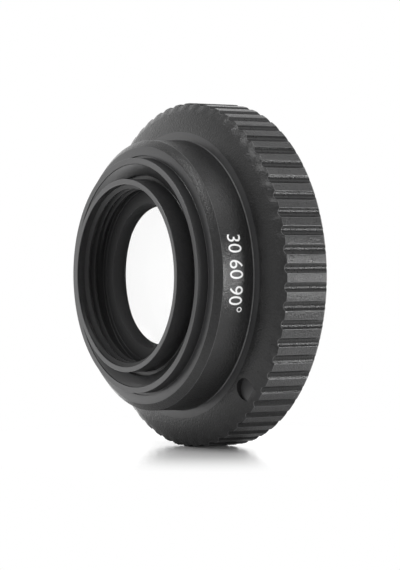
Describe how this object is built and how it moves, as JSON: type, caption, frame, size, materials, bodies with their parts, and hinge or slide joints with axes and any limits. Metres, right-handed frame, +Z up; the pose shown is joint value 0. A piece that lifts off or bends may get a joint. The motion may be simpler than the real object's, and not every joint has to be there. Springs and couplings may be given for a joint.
{
  "type": "action camera wide-angle lens",
  "caption": "Screw-on wide-angle lens for an action camera: domed front glass, fluted grip ring, stepped neck and a rear tube with an inner thread round the rear glass.",
  "frame": {"origin": "centre of the rear rim, at the mouth of the camera thread", "axes": "Y is the optical axis: +Y points backwards to the camera and -Y forwards to the scene; +Z is up, with the lens standing on its fluted grip"},
  "size_m": [0.044, 0.0252, 0.044],
  "materials": {
    "anodised_black": "black anodised over bead blasting, with smoother turned faces",
    "inner_black": "matte black anodised",
    "shim_black": "thin matte black film",
    "bright_shim": "thin rolled foil",
    "coated_glass": "polished, with a faint blue and violet coating",
    "clear_glass": "polished",
    "seal_rubber": "matte black"
  },
  "bodies": {
    "root": {"mount_barrel": "anodised_black", "rear_body": "anodised_black", "front_housing": "anodised_black", "bezel_ring": "anodised_black", "rear_retainer": "inner_black", "barrel_retainer": "inner_black", "dome_spacer": "inner_black", "rear_lens_washer": "shim_black", "doublet_washer": "shim_black", "second_lens_washer": "shim_black", "barrel_shim": "bright_shim", "rear_lens": "coated_glass", "doublet_rear": "clear_glass", "doublet_front": "clear_glass", "second_lens": "clear_glass", "front_dome": "coated_glass", "barrel_seal": "seal_rubber", "body_seal": "seal_rubber", "dome_seal": "seal_rubber", "dome_gasket": "seal_rubber"}
  },
  "joints": []
}
